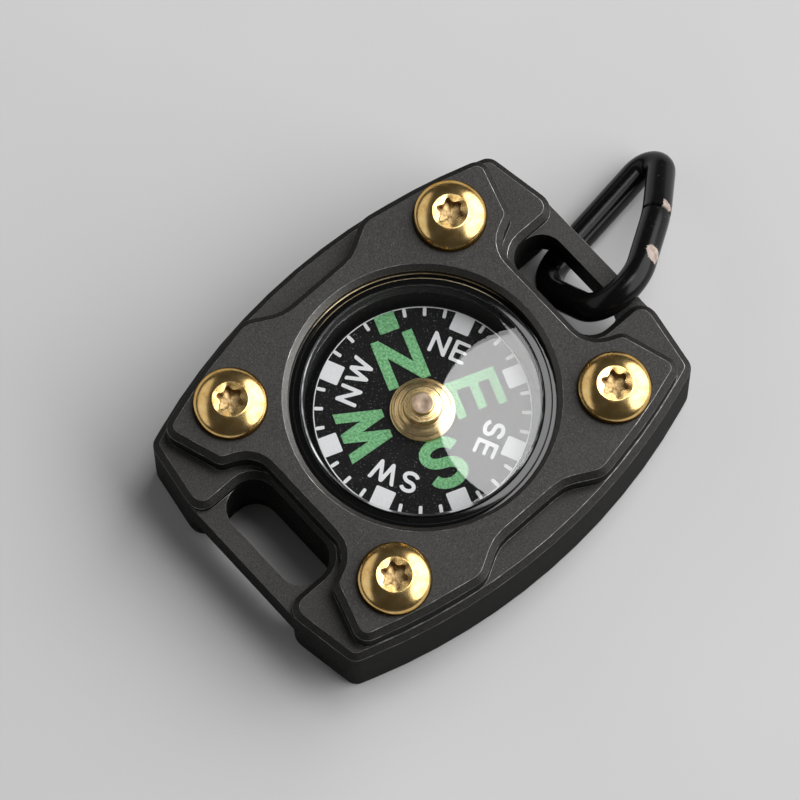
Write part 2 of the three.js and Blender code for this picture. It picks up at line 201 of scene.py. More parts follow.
# Green letters: foot is how far a letter stands from the middle, and aside how far it is moved along
BIG_NORTH = {"width": 3.32, "tall": 3.95, "stroke": 0.8, "foot": 2.33, "aside": -0.09}
BIG_EAST = {"width": 2.98, "tall": 3.92, "stroke": 0.8, "foot": 2.25, "aside": 0.16}
BIG_SOUTH = {"width": 3.25, "tall": 4.08, "stroke": 0.83, "foot": 2.33, "aside": 0.0}
BIG_WEST = {"width": 4.12, "tall": 3.57, "stroke": 0.75, "foot": 2.82, "aside": 0.07}

# White letters in pairs: middle is how far the middle of a pair lies from the middle of the card
SMALL_TALL = 1.68
SMALL_STROKE = 0.29
SMALL_GAP = 0.33
SMALL_ROUND = 0.1305
SMALL_WIDTHS = {"N": 1.4, "E": 1.2, "S": 1.3, "W": 2.1}
SMALL_PAIRS = {
    "NE": {"clockwise": 45, "middle": 5.3, "aside": -0.15},
    "SE": {"clockwise": 135, "middle": 5.48, "aside": 0.0},
    "SW": {"clockwise": 225, "middle": 5.5, "aside": -0.12},
    "NW": {"clockwise": 315, "middle": 5.52, "aside": 0.1},
}

# Letter shapes: insets and arms are shares of the stroke, and ARM_HEIGHT is one of the letter's height
CORNER_INSET = 0.45
PEAK_INSET = 0.18
ARM_STROKE = 0.85
ARM_SHORTER = 0.25
ARM_HEIGHT = 0.52
S_TOP_WIDTH = 0.95
S_START = 15
S_END = -165
ARC_STEPS = 16

# Key ring: the corners of the bent wire are (along its grounded leg, up its slope, bend radius).
# RING_PLACE and the spots of the chips in its black are places on the whole compass.
WIRE_RADIUS = 1.12
WIRE_SIDES = 32
WIRE_EDGE = 0.1
BEND_STEPS = 12
RING_PLACE = (14.17, 2.73, 1.19)
RING_TILT = 45.824
RING_TURN = 7.2
RING_HEEL = (0.0, 0.0, 3.0)
RING_TIP = (15.05, 0.0, 1.4)
RING_BOW = (9.1, 5.85, 15.0)
RING_SHOULDER = (3.5, 9.7, 3.9)
RING_CROOK = (-0.45, 9.0, 2.6)
RING_JOINT_GAP = 0.15
CHIPS = ({"spot": (24.6, -0.3, 5.9), "size": 0.45}, {"spot": (20.7, -3.0, 8.1), "size": 0.7})
CHIP_FADE = 0.08


class Value:
    """A number, colour or vector inside a finish; sums of numbers read as plain Python."""

    def __init__(self, finish, socket):
        self.finish = finish
        self.socket = socket

    def combine(self, operation, first, second):
        """The result of one Math node on two numbers."""
        return self.finish.node("ShaderNodeMath", {"operation": operation}, {0: first, 1: second})

    def __add__(self, other):
        return self.combine("ADD", self, other)

    def __radd__(self, other):
        return self.combine("ADD", other, self)

    def __sub__(self, other):
        return self.combine("SUBTRACT", self, other)

    def __rsub__(self, other):
        return self.combine("SUBTRACT", other, self)

    def __mul__(self, other):
        return self.combine("MULTIPLY", self, other)

    def __rmul__(self, other):
        return self.combine("MULTIPLY", other, self)


class Finish:
    """A procedural material round one Principled shader."""

    def __init__(self, name, sockets):
        self.material = bpy.data.materials.new(name)
        self.material.use_nodes = True
        self.tree = self.material.node_tree
        self.shader = self.tree.nodes["Principled BSDF"]
        self.output = self.tree.nodes["Material Output"]
        self.place = self.node("ShaderNodeTexCoord", {}, {}, "Object")
        self.feed(sockets)

    def node(self, kind, settings, sockets, output=0):
        """One output of a new node, whose settings are set before its sockets are set or linked."""
        made = self.tree.nodes.new(kind)
        for name, value in settings.items():
            setattr(made, name, value)
        for name, value in sockets.items():
            self.plug(value, made.inputs[name])
        return Value(self, made.outputs[output])

    def plug(self, value, socket):
        """Links a value to a socket, or sets a constant on it."""
        if isinstance(value, Value):
            self.tree.links.new(value.socket, socket)
        else:
            socket.default_value = value

    def feed(self, sockets):
        """Sets or links sockets of the shader itself."""
        for name, value in sockets.items():
            self.plug(value, self.shader.inputs[name])

    def blend(self, share, first, second):
        """A colour that goes from the first to the second as the share goes from 0 to 1."""
        return self.node("ShaderNodeMix", {"data_type": "RGBA"}, {0: share, 6: first, 7: second}, 2)

    def between(self, value, low, high):
        """A soft step of a value, from 0 at low to 1 at high."""
        return self.node(
            "ShaderNodeMapRange", {"interpolation_type": "SMOOTHSTEP"},
            {"Value": value, "From Min": low, "From Max": high})

    def within(self, value, limit, fade):
        """1 where a value is below a limit, then a soft fall to 0 over the fade."""
        return 1 - self.between(value, limit, limit + fade)

    def noise(self, size, detail=3.0):
        """Noise whose lumps are about size across."""
        return self.node(
            "ShaderNodeTexNoise", {},
            {"Vector": self.place, "Scale": 1 / (size * MM), "Detail": detail,
             "Roughness": NOISE_ROUGHNESS})

    def specks(self, size, share):
        """Scattered spots about size across: the lower the share, the more of them."""
        return self.between(self.noise(size, detail=1.0), share, share + SPECK_FADE)

    def rings(self, size):
        """Fine rings about the piece's upright axis, as a lathe leaves them."""
        return self.node(
            "ShaderNodeTexNoise", {"noise_dimensions": "1D"},
            {"W": self.reach(), "Scale": 1 / size, "Detail": RINGS_DETAIL})

    def mottle(self, grain, dark, light):
        """A colour that a grain varies between a dark and a light one."""
        return self.blend(self.between(grain, MOTTLE_LOW, MOTTLE_HIGH), dark, light)

    def upward(self):
        """How far the surface faces up, from -1 to 1."""
        facing = self.node("ShaderNodeTexCoord", {}, {}, "Normal")
        return self.node("ShaderNodeSeparateXYZ", {}, {0: facing}, "Z")

    def reach(self):
        """Distance from the piece's upright axis, in millimetres."""
        flat = self.node("ShaderNodeVectorMath", {"operation": "MULTIPLY"}, {0: self.place, 1: (1, 1, 0)})
        return self.node("ShaderNodeVectorMath", {"operation": "LENGTH"}, {0: flat}, "Value") * (1 / MM)

    def distance(self, spot):
        """Distance from a spot on the piece, in millimetres."""
        ends = {0: self.place, 1: tuple(Vector(spot) * MM)}
        return self.node("ShaderNodeVectorMath", {"operation": "DISTANCE"}, ends, "Value") * (1 / MM)

    def ray(self, kind):
        """1 for rays of a kind, 0 for the others."""
        return self.node("ShaderNodeLightPath", {}, {}, kind)

    def bump(self, height, depth, strength):
        """Relief of the given depth from a height between 0 and 1."""
        normal = self.node(
            "ShaderNodeBump", {}, {"Height": height, "Distance": depth * MM, "Strength": strength})
        self.feed({"Normal": normal})


def grey(level):
    return (level, level, level, 1.0)


# Finishes


def blasted_metal():
    finish = Finish("blasted_metal", {"Specular Tint": grey(0.1)})
    grain = finish.noise(0.13, detail=4.0)
    dust = finish.between(finish.noise(5.0), 0.4, 0.7)
    sparkle = finish.specks(0.09, 0.66)
    # Faces that turn away from straight up take darker colours as painted shade; the window's chamfer
    # among them takes a lighter colour
    shaded_sides = finish.within(finish.upward(), 0.9, 0.08)
    chamfer = shaded_sides * finish.within(finish.reach(), WINDOW_RADIUS + WINDOW_CHAMFER, WINDOW_FADE)
    blasted = finish.mottle(grain, BLASTED_DARK, BLASTED_LIGHT)
    blasted = finish.blend(dust * 0.15, blasted, grey(0.1))
    blasted = finish.blend(sparkle * 0.5, blasted, grey(0.22))
    shaded_slopes = finish.mottle(grain, SHADED_SLOPE_DARK, SHADED_SLOPE_LIGHT)
    shaded_slopes = finish.blend(chamfer, shaded_slopes, finish.mottle(grain, CHAMFER_DARK, CHAMFER_LIGHT))
    finish.feed({
        "Base Color": finish.blend(shaded_sides, blasted, shaded_slopes),
        "Metallic": 0.8 + chamfer * 0.1,
        "Roughness": 0.5 + grain * 0.14 - shaded_sides * 0.06 - chamfer * 0.12,
    })
    finish.bump(grain, depth=0.03, strength=0.6)
    return finish.material


def worn_edge():
    finish = Finish("worn_edge", {"Metallic": 0.9})
    scratch = finish.noise(0.25, detail=4.0)
    worn = finish.between(finish.noise(1.5), 0.45, 0.65)
    lip = finish.within(finish.reach(), WINDOW_RADIUS + LIP_WIDTH, LIP_FADE)
    fresh = finish.mottle(scratch, grey(0.1), grey(0.2))
    bare = finish.mottle(scratch, BARE_DARK, BARE_LIGHT)
    colour = finish.blend(worn, fresh, bare)
    colour = finish.blend(lip, colour, LIP_GOLD)
    finish.feed({"Base Color": colour, "Roughness": 0.34 + scratch * 0.2 - lip * 0.2})
    return finish.material


def polished_brass():
    finish = Finish("polished_brass", {"Metallic": 1.0, "Specular Tint": SCREW_GRAZE})
    haze = finish.noise(0.7)
    tarnish = finish.between(finish.noise(1.3, detail=4.0), 0.48, 0.7)
    # The dome's steep flanks are darkened as a painted dark reflection
    flank_shade = finish.within(finish.upward() + haze * 0.2, 0.25, 0.45)
    colour = finish.mottle(haze, SCREW_DEEP, SCREW_PALE)
    colour = finish.blend(tarnish * 0.5, colour, SCREW_TARNISH)
    colour = finish.blend(flank_shade * 0.7, colour, SCREW_FLANK_SHADE)
    finish.feed({"Base Color": colour, "Roughness": 0.14 + haze * 0.1 + tarnish * 0.1})
    finish.bump(finish.rings(0.06), depth=0.004, strength=0.3)
    return finish.material


def socket_brass():
    finish = Finish("socket_brass", {"Metallic": 1.0})
    smudge = finish.noise(0.3, detail=4.0)
    colour = finish.mottle(smudge, SOCKET_DARK, SOCKET_LIGHT)
    finish.feed({"Base Color": colour, "Roughness": 0.3 + smudge * 0.2})
    finish.bump(smudge, depth=0.03, strength=0.4)
    return finish.material


def turned_brass():
    finish = Finish("turned_brass", {"Metallic": 0.95})
    haze = finish.noise(0.5, detail=4.0)
    stain = finish.between(finish.noise(0.9, detail=4.0), 0.45, 0.7)
    rings = finish.rings(0.07)
    # The pip's top is rougher, and its darker grey-brown colour is a painted dark reflection
    dull_shaded_top = finish.within(finish.reach(), HUB_PIP - DULL_SHADED_INSET, DULL_SHADED_FADE)
    colour = finish.mottle(rings, HUB_DARK, HUB_LIGHT)
    colour = finish.blend(stain * 0.35, colour, HUB_STAIN)
    colour = finish.blend(dull_shaded_top, colour, finish.mottle(haze, PIP_SHADED_DARK, PIP_SHADED_LIGHT))
    finish.feed({"Base Color": colour, "Roughness": 0.17 + haze * 0.12 + dull_shaded_top * 0.23})
    finish.bump(rings, depth=0.014, strength=0.6)
    return finish.material


def black_gloss():
    finish = Finish("black_gloss", {"IOR": 1.48})
    colour = finish.blend(finish.specks(0.1, 0.72) * 0.35, grey(0.004), grey(0.08))
    finish.feed({"Base Color": colour, "Roughness": 0.03 + finish.noise(1.2) * 0.06})
    return finish.material


def gold_patch_rim():
    finish = Finish("gold_patch_rim", {"IOR": 1.48})
    grain = finish.noise(0.4, detail=4.0)
    # A brass-coloured metal patch on the rim's upper left, fading out away from its spot
    gold_patch = finish.within(finish.distance(GOLD_PATCH_SPOT) + grain * 3, GOLD_PATCH_REACH, GOLD_PATCH_FADE)
    brass = finish.mottle(grain, GOLD_PATCH_DARK, GOLD_PATCH_LIGHT)
    finish.feed({
        "Base Color": finish.blend(gold_patch, grey(0.004), brass),
        "Metallic": gold_patch,
        "Roughness": 0.28 + grain * 0.1,
    })
    return finish.material


def glass(name, roughness):
    """Clear plastic that lets light through to the dial without a shadow."""
    finish = Finish(name, {
        "Base Color": grey(1.0), "Roughness": roughness, "IOR": 1.49, "Transmission Weight": 1.0})
    lighting = finish.ray("Is Shadow Ray") + finish.ray("Is Diffuse Ray")
    clear = finish.node("ShaderNodeBsdfTransparent", {}, {"Color": grey(1.0)})
    lit = Value(finish, finish.shader.outputs[0])
    through = finish.node("ShaderNodeMixShader", {}, {0: lighting, 1: lit, 2: clear})
    finish.plug(through, finish.output.inputs["Surface"])
    return finish.material


def card_black():
    finish = Finish("card_black", {"Specular IOR Level": 0.08})
    grain = finish.noise(0.16, detail=4.0)
    smear = finish.between(finish.noise(2.2, detail=5.0), 0.56, 0.72)
    dust = finish.specks(0.12, 0.67)
    colour = finish.mottle(grain, grey(0.0035), grey(0.009))
    colour = finish.blend(smear * 0.12, colour, grey(0.05))
    colour = finish.blend(dust * 0.6, colour, grey(0.24))
    finish.feed({"Base Color": colour, "Roughness": 0.6 + grain * 0.25})
    finish.bump(grain, depth=0.01, strength=0.3)
    return finish.material


def green_lume():
    # A faint emission lightens the green as a painted glow
    finish = Finish("green_lume", {"Specular IOR Level": 0.3, "Emission Strength": 0.04})
    grain = finish.noise(0.2)
    colour = finish.mottle(grain, LUME_DARK, LUME_LIGHT)
    finish.feed({"Base Color": colour, "Emission Color": colour, "Roughness": 0.6 + grain * 0.2})
    finish.bump(grain, depth=0.12, strength=1.0)
    return finish.material


def white_print():
    finish = Finish("white_print", {"Specular IOR Level": 0.3})
    grain = finish.noise(0.13)
    colour = finish.mottle(grain, PRINT_DARK, PRINT_LIGHT)
    finish.feed({"Base Color": colour, "Roughness": 0.6 + grain * 0.2})
    finish.bump(grain, depth=0.015, strength=0.5)
    return finish.material


def black_wire():
    finish = Finish("black_wire", {"IOR": 1.3})
    haze = finish.noise(0.6, detail=4.0)
    ragged = finish.noise(0.5, detail=4.0) - 0.5
    scuff = finish.between(finish.noise(0.4, detail=5.0), 0.62, 0.74)
    chipped = 0.0
    for chip in CHIPS:
        edge = chip["size"] - CHIP_FADE / 2
        chipped = chipped + finish.within(finish.distance(chip["spot"]) + ragged, edge, CHIP_FADE)
    colour = finish.blend(scuff * 0.6, grey(0.004), SCUFF_BROWN)
    colour = finish.blend(chipped, colour, finish.mottle(haze, CHIP_DARK, CHIP_LIGHT))
    roughness = 0.15 + haze * 0.12 + scuff * 0.12 + chipped * 0.3
    finish.feed({"Base Color": colour, "Roughness": roughness})
    finish.bump(haze, depth=0.02, strength=0.2)
    return finish.material


def inner_steel():
    finish = Finish("inner_steel", {"Metallic": 1.0})
    grain = finish.noise(0.1)
    colour = finish.mottle(grain, grey(0.34), grey(0.46))
    finish.feed({"Base Color": colour, "Roughness": 0.22 + grain * 0.15})
    return finish.material


def red_jewel():
    finish = Finish("red_jewel", {"Coat Weight": 0.5})
    cloud = finish.noise(0.4)
    colour = finish.mottle(cloud, JEWEL_DARK, JEWEL_LIGHT)
    finish.feed({"Base Color": colour, "Roughness": 0.08 + cloud * 0.06})
    return finish.material


def magnet_grey():
    finish = Finish("magnet_grey", {"Metallic": 0.8})
    grain = finish.noise(0.12, detail=4.0)
    colour = finish.mottle(grain, grey(0.13), grey(0.24))
    finish.feed({"Base Color": colour, "Roughness": 0.4 + grain * 0.2})
    finish.bump(grain, depth=0.01, strength=0.3)
    return finish.material


# Black rubber for the capsule pad, also put on the crystal's seat and side wall as painted shade
def rubber_and_edge_shade():
    finish = Finish("rubber_and_edge_shade", {})
    grain = finish.noise(0.2, detail=4.0)
    colour = finish.mottle(grain, grey(0.006), grey(0.016))
    finish.feed({"Base Color": colour, "Roughness": 0.8 + grain * 0.15})
    finish.bump(grain, depth=0.02, strength=0.4)
    return finish.material


def pale_floor():
    """A pale floor that throws only a little light back onto the compass."""
    finish = Finish("pale_floor", {"Roughness": 0.9, "Specular IOR Level": 0.1})
    pale = finish.mottle(finish.noise(60.0), grey(0.62), grey(0.65))
    seen = finish.ray("Is Camera Ray") + finish.ray("Is Glossy Ray") + finish.ray("Is Transmission Ray")
    finish.feed({"Base Color": finish.blend(seen, grey(0.2), pale)})
    return finish.material


METAL = blasted_metal()
EDGE = worn_edge()
BRASS = polished_brass()
SOCKET = socket_brass()
GLOSS = black_gloss()
LUME = green_lume()
WHITE = white_print()
RUBBER_AND_EDGE_SHADE = rubber_and_edge_shade()
CARD = card_black()


# Mesh helpers


def piece(name, mesh, body, materials, place=(0, 0)):
    """A new piece of the compass that rides on a body, moved to its upright axis."""
    made = bpy.data.objects.new(name, mesh)
    made.location = (*place, 0)
    bpy.context.scene.collection.objects.link(made)
    for material in materials:
        mesh.materials.append(material)
    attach(made, body)
    return made


def shaded(name, points, faces):
    """A mesh shaded smooth, except along its sharp edges."""
    mesh = bpy.data.meshes.new(name)
    mesh.from_pydata([Vector(point) * MM for point in points], [], faces)
    mesh.update()
    mesh.shade_smooth()
    mesh.set_sharp_from_angle(angle=math.radians(SHARP_ANGLE))
    return mesh


def eased(line, reach, closed=False):
    """A line of 2-D points with each corner rounded, starting at most reach from it."""
    points = []
    last = len(line) - 1
    for i, corner in enumerate(line):
        if not closed and i in (0, last):
            points.append(corner)
            continue
        here = Vector(corner)
        back = Vector(line[i - 1]) - here
        ahead = Vector(line[i + 1 if i < last else 0]) - here
        start = here + back * min(reach / back.length, EASE_LIMIT)
        end = here + ahead * min(reach / ahead.length, EASE_LIMIT)
        for step in range(EASE_STEPS + 1):
            share = step / EASE_STEPS
            points.append(tuple(start.lerp(here, share).lerp(here.lerp(end, share), share)))
    return points


def turned(name, rings, loop=False):
    """A mesh of rings stacked about the Z axis, each (radius, or radius by angle, and height).
    The rings run up the outside, one of radius 0 is a point, and a loop joins its last to its first."""
    points, faces, rows = [], [], []
    for radius, height in rings:
        row = []
        for side in range(TURNED_SIDES if radius else 1):
            angle = 2 * math.pi * side / TURNED_SIDES
            size = radius(angle) if callable(radius) else radius
            row.append(len(points))
            points.append((size * math.cos(angle), size * math.sin(angle), height))
        rows.append(row)
    upper_rows = rows[1:] + rows[:1] if loop else rows[1:]
    for low, high in zip(rows, upper_rows):
        for side in range(TURNED_SIDES):
            before = side - 1
            corners = [
                low[before % len(low)],
                low[side % len(low)],
                high[side % len(high)],
                high[before % len(high)],
            ]
            faces.append(list(dict.fromkeys(corners)))
    return shaded(name, points, faces)


def repaint(mesh, bands, finish):
    """Gives whole bands of a turned mesh another of its finishes."""
    for band in bands:
        for side in range(TURNED_SIDES):
            mesh.polygons[band * TURNED_SIDES + side].material_index = finish


def slabs(name, outlines, foot, top):
    """Flat marks in one mesh: each outline of (x, y) points, anticlockwise, between two heights."""
    points, faces = [], []
    for outline in outlines:
        count = len(outline)
        low = range(len(points), len(points) + count)
        high = range(low.stop, low.stop + count)
        points += [(x, y, foot) for x, y in outline]
        points += [(x, y, top) for x, y in outline]
        faces += [list(reversed(low)), list(high)]
        faces += [[low[i - 1], low[i], high[i], high[i - 1]] for i in range(count)]
    return shaded(name, points, faces)


# Machined pieces that keep their own solid


def shading_nodes():
    """Geometry nodes that shade a welded solid smooth, except along its sharp edges."""
    group = bpy.data.node_groups.new("smooth_shading", "GeometryNodeTree")
    group.interface.new_socket("Geometry", in_out="INPUT", socket_type="NodeSocketGeometry")
    group.interface.new_socket("Geometry", in_out="OUTPUT", socket_type="NodeSocketGeometry")
    source = group.nodes.new("NodeGroupInput")
    bare = group.nodes.new("GeometryNodeRemoveAttribute")
    smooth = group.nodes.new("GeometryNodeSetShadeSmooth")
    creased = group.nodes.new("GeometryNodeSetShadeSmooth")
    angle = group.nodes.new("GeometryNodeInputMeshEdgeAngle")
    sharp = group.nodes.new("FunctionNodeCompare")
    result = group.nodes.new("NodeGroupOutput")
    bare.inputs["Name"].default_value = "custom_normal"
    creased.domain = "EDGE"
    creased.inputs["Shade Smooth"].default_value = False
    sharp.inputs["B"].default_value = math.radians(SHARP_ANGLE)
    for start, end in (
        (source.outputs[0], bare.inputs["Geometry"]),
        (bare.outputs[0], smooth.inputs["Geometry"]),
        (smooth.outputs[0], creased.inputs["Geometry"]),
        (angle.outputs["Unsigned Angle"], sharp.inputs["A"]),
        (sharp.outputs[0], creased.inputs["Selection"]),
        (creased.outputs[0], result.inputs[0]),
    ):
        group.links.new(start, end)
    return group


SHADING = shading_nodes()


def dress(node, material):
    """Gives a solid its finish, and clean shading by modifiers alone."""
    solid = solids[node]
    solid.data.materials.clear()
    solid.data.materials.append(material)
    weld = solid.modifiers.new("weld", "WELD")
    weld.merge_threshold = WELD * MM
    flats = solid.modifiers.new("flats", "DECIMATE")
    flats.decimate_type = "DISSOLVE"
    flats.angle_limit = math.radians(FLAT_ANGLE)
    solid.modifiers.new("shading", "NODES").node_group = SHADING
    return solid


def dress_worn(node):
    """Gives a case piece the blasted finish, with its sharp edges broken and worn."""
    solid = dress(node, METAL)
    solid.data.materials.append(EDGE)
    edges = solid.modifiers.new("edges", "BEVEL")
    edges.width = EDGE_WIDTH * MM
    edges.segments = EDGE_SEGMENTS
    edges.limit_method = "ANGLE"
    edges.angle_limit = math.radians(SHARP_ANGLE)
    edges.material = 1
    flatten = solid.modifiers.new("flatten", "WEIGHTED_NORMAL")
    flatten.keep_sharp = True


for node in ("case_body", "back_plate"):
    dress_worn(node)
dress("capsule_cup", CARD)
dress("capsule_pad", RUBBER_AND_EDGE_SHADE)
dress("compass_card", CARD)
dress("pivot_pin", inner_steel())
dress("jewel_bearing", red_jewel())
magnet_finish = magnet_grey()
for node in ("magnet_1", "magnet_2"):
    dress(node, magnet_finish)

case_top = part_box("case_body")[1].z / MM
card_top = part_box("compass_card")[1].z / MM


def heights(node):
    """The foot and top of a solid, in millimetres."""
    low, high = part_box(node)
    return low.z / MM, high.z / MM


def width_radius(node):
    """The radius of a round solid, in millimetres."""
    low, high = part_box(node)
    return (high.x - low.x) / 2 / MM


# Screws


def dome(start, end):
    """Points of the head's dome, which starts upright and turns through its sweep."""
    sweep = math.radians(HEAD_SWEEP)
    points = []
    for step in range(DOME_STEPS + 1):
        angle = sweep * step / DOME_STEPS
        across = (1 - math.cos(angle)) / (1 - math.cos(sweep))
        up = math.sin(angle) / math.sin(sweep)
        points.append((start[0] + (end[0] - start[0]) * across, start[1] + (end[1] - start[1]) * up))
    return points


def lobes(extra):
    """Radius by angle of the six-lobed socket, grown by a small extra."""
    def radius(angle):
        swell = ((1 + math.cos(LOBES * angle)) / 2) ** LOBE_SHARPNESS
        return LOBE_INNER + extra + (LOBE_OUTER - LOBE_INNER) * swell

    return radius


def screw(node):
    tip, top = heights(node)
    head = width_radius(node)
    floor = top - LOBE_DEPTH
    outside = [
        (0, tip),
        (SHANK_RADIUS - SHANK_CHAMFER, tip),
        (SHANK_RADIUS, tip + SHANK_CHAMFER),
        (SHANK_RADIUS, case_top),
        (head - HEAD_EDGE, case_top),
        (head, case_top + HEAD_EDGE),
        *dome((head, case_top + HEAD_RIM), (HEAD_FLAT, top)),
        (HEAD_FLAT - HEAD_LIP, top),
    ]
    socket = [
        (lobes(LOBE_EDGE), top - HEAD_DISH),
        (lobes(0), top - HEAD_DISH - LOBE_EDGE),
        (lobes(0), floor),
        (0, floor - LOBE_CONE),
    ]
    low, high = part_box(node)
    middle = (low + high) / 2
    mesh = turned(node, outside + socket)
    made = piece(node + "_turned", mesh, "case", [BRASS, SOCKET], (middle.x, middle.y))
    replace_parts(made, node)
    socket_start = len(outside)
    repaint(mesh, range(socket_start, socket_start + len(socket) - 1), 1)


for number in range(1, SCREWS + 1):
    screw(f"case_screw_{number}")


# Capsule


def capsule_rim():
    foot, top = heights("capsule_rim")
    outer = width_radius("capsule_rim")
    inner = width_radius("capsule_lens") + RIM_GAP
    land = inner + RIM_LAND
    land_edge = (land, top - RIM_FALL)
    step_foot = (land, top - RIM_FALL - RIM_STEP)
    wall_foot = (WINDOW_RADIUS, step_foot[1] - RIM_FALL / RIM_LAND * (WINDOW_RADIUS - land))
    profile = [
        (outer, foot),
        (outer, top),
        (WINDOW_RADIUS, top),
        wall_foot,
        step_foot,
        land_edge,
        (inner, top),
        (inner, foot),
    ]
    mesh = turned("rim", eased(profile, RIM_EDGE, closed=True), loop=True)
    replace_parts(piece("rim", mesh, "case", [GLOSS, gold_patch_rim()]), "capsule_rim")
    for corner in (wall_foot, land_edge):
        start = profile.index(corner) * (EASE_STEPS + 1)
        repaint(mesh, range(start, start + EASE_STEPS), 1)


def crowned(radius, edge):
    """Points of the crystal's shallow crown, from the middle out to its edge."""
    points = []
    for step in range(CROWN_STEPS + 1):
        share = step / CROWN_STEPS
        points.append((radius * share, edge + CRYSTAL_CROWN * (1 - share ** 2)))
    return points


def crystal():
    foot, top = heights("capsule_lens")
    foot += CRYSTAL_GAP
    radius = width_radius("capsule_lens")
    edge = top - CRYSTAL_CROWN
    underside = crowned(radius - CRYSTAL_SEAT, foot)
    face = reversed(crowned(radius - CRYSTAL_BEVEL, edge))
    mesh = turned("crystal", [*underside, (radius, foot), (radius, edge - CRYSTAL_BEVEL), *face])
    # The crystal's seat and side wall take the black rubber finish as painted shade that keeps its edge
    # dark
    finishes = [glass("clear_crystal", 0.0), RUBBER_AND_EDGE_SHADE, glass("frosted_bevel", 0.3)]
    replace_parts(piece("crystal", mesh, "case", finishes), "capsule_lens")
    seat, wall, bevel = range(CROWN_STEPS, CROWN_STEPS + 3)
    repaint(mesh, (seat, wall), 1)
    repaint(mesh, [bevel], 2)


def grooved(start, end):
    """A slanted face of a turned piece with shallow grooves cut round it."""
    points = [start]
    run = Vector(end) - Vector(start)
    dip = Vector((-run.y, run.x)).normalized() * GROOVE_DEPTH
    groove_points = ((GROOVE_START, 0), (GROOVE_FLOOR, 1), (1 - GROOVE_FLOOR, 1), (1 - GROOVE_START, 0))
    for groove in range(GROOVES):
        for share, sunk in groove_points:
            along = Vector(start) + run * ((groove + share) / GROOVES)
            points.append(tuple(along + dip * sunk))
    return [*points, end]


def hub():
    foot, top = heights("hub_cap")
    radius = width_radius("hub_cap")
    flange = card_top + HUB_EDGE
    neck_foot = flange + (radius - HUB_NECK) * HUB_SLOPE
    neck_top = neck_foot + (top - neck_foot) * HUB_NECK_SHARE
    pip_foot = neck_top + HUB_SHOULDER
    profile = [
        (0, top - HUB_CROWN),
        (HUB_BORE, top - HUB_CROWN),
        (HUB_BORE, foot),
        (HUB_SPIGOT, foot),
        (HUB_SPIGOT, card_top),
        (radius, card_top),
        *grooved((radius, flange), (HUB_NECK, neck_foot)),
        (HUB_NECK, neck_top),
        (HUB_PIP, pip_foot),
        (HUB_PIP, top),
        (HUB_PIP / 2, top),
        (0, top - HUB_DIMPLE),
    ]
    mesh = turned("hub", eased(profile, HUB_ROUND))
    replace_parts(piece("hub", mesh, "card", [turned_brass()]), "hub_cap")


capsule_rim()
crystal()
hub()


# Dial marks, drawn with north up and turned to where north lies


def around(outline, clockwise, away=0.0, aside=0.0):
    """An outline moved away from the middle and aside, then turned clockwise from north."""
    turn = Matrix.Rotation(math.radians(NORTH - 90 - clockwise), 2)
    return [tuple(turn @ Vector((x + aside, y + away))) for x, y in outline]


def mark(name, outlines, height, material):
    """Printed outlines that stand on the card by the given height."""
    mesh = slabs(name, outlines, card_top, card_top + height)
    piece(name, mesh, "card", [material])


def oblong(width, foot, top):
    """Outline of an upright bar with rounded corners."""
    corners = [(-width / 2, foot), (width / 2, foot), (width / 2, top), (-width / 2, top)]
    return eased(corners, MARK_ROUND, closed=True)


def squares_and_ticks():
    square = oblong(SQUARE_WIDTH, SQUARE_INNER, SQUARE_OUTER)
    tick = oblong(TICK_WIDTH, TICK_INNER, RIM_LINE_INNER)
    parts = TICKS_BETWEEN + 1
    squares = [around(square, EIGHTH * place) for place in range(DIRECTIONS)]
    ticks = [around(tick, EIGHTH / parts * place) for place in range(DIRECTIONS * parts) if place % parts]
    mark("north_square", squares[:1], MARK_HEIGHT, LUME)
    mark("white_squares", squares[1:], MARK_HEIGHT, WHITE)
    mark("white_ticks", ticks, MARK_HEIGHT, WHITE)


def rim_line():
    line_top = card_top + RIM_LINE_HEIGHT
    rings = [
        (RIM_LINE_INNER, card_top),
        (RIM_LINE_OUTER, card_top),
        (RIM_LINE_OUTER, line_top),
        (RIM_LINE_INNER, line_top),
    ]
    piece("rim_line", turned("rim_line", rings, loop=True), "card", [WHITE])


def ribbon(path, width):
    """Outline of a stroke of even width along a path, mitred at its corners."""
    left, right = [], []
    last = len(path) - 1
    for i, corner in enumerate(path):
        here = Vector(corner)
        into = here - Vector(path[i - 1]) if i else Vector(path[1]) - here
        out = Vector(path[i + 1]) - here if i < last else into
        into, out = into.normalized(), out.normalized()
        across = (into + out).orthogonal().normalized()
        reach = width / 2 / across.dot(into.orthogonal())
        left.append(tuple(here + across * reach))
        right.append(tuple(here - across * reach))
    return right + left[::-1]


def trimmed(outline, low, high):
    """The part of an outline between two heights, cut level."""
    for limit, sign in ((low, 1), (high, -1)):
        kept = []
        for i, here in enumerate(outline):
            before = outline[i - 1]
            inside = sign * (here[1] - limit) >= 0
            if inside != (sign * (before[1] - limit) >= 0):
                share = (limit - before[1]) / (here[1] - before[1])
                kept.append((before[0] + (here[0] - before[0]) * share, limit))
            if inside:
                kept.append(here)
        outline = kept
    return outline


def arc(middle_y, radius_x, radius_y, start, end):
    """Points of an oval's arc between two angles, with its middle on the upright axis."""
    points = []
    for step in range(ARC_STEPS + 1):
        angle = math.radians(start + (end - start) * step / ARC_STEPS)
        points.append((radius_x * math.cos(angle), middle_y + radius_y * math.sin(angle)))
    return points


def letter_n(width, tall, stroke):
    side = (width - stroke) / 2
    corner = stroke * CORNER_INSET
    path = [(-side, -tall), (-side, tall - corner), (side, corner), (side, 2 * tall)]
    return trimmed(ribbon(path, stroke), 0, tall)


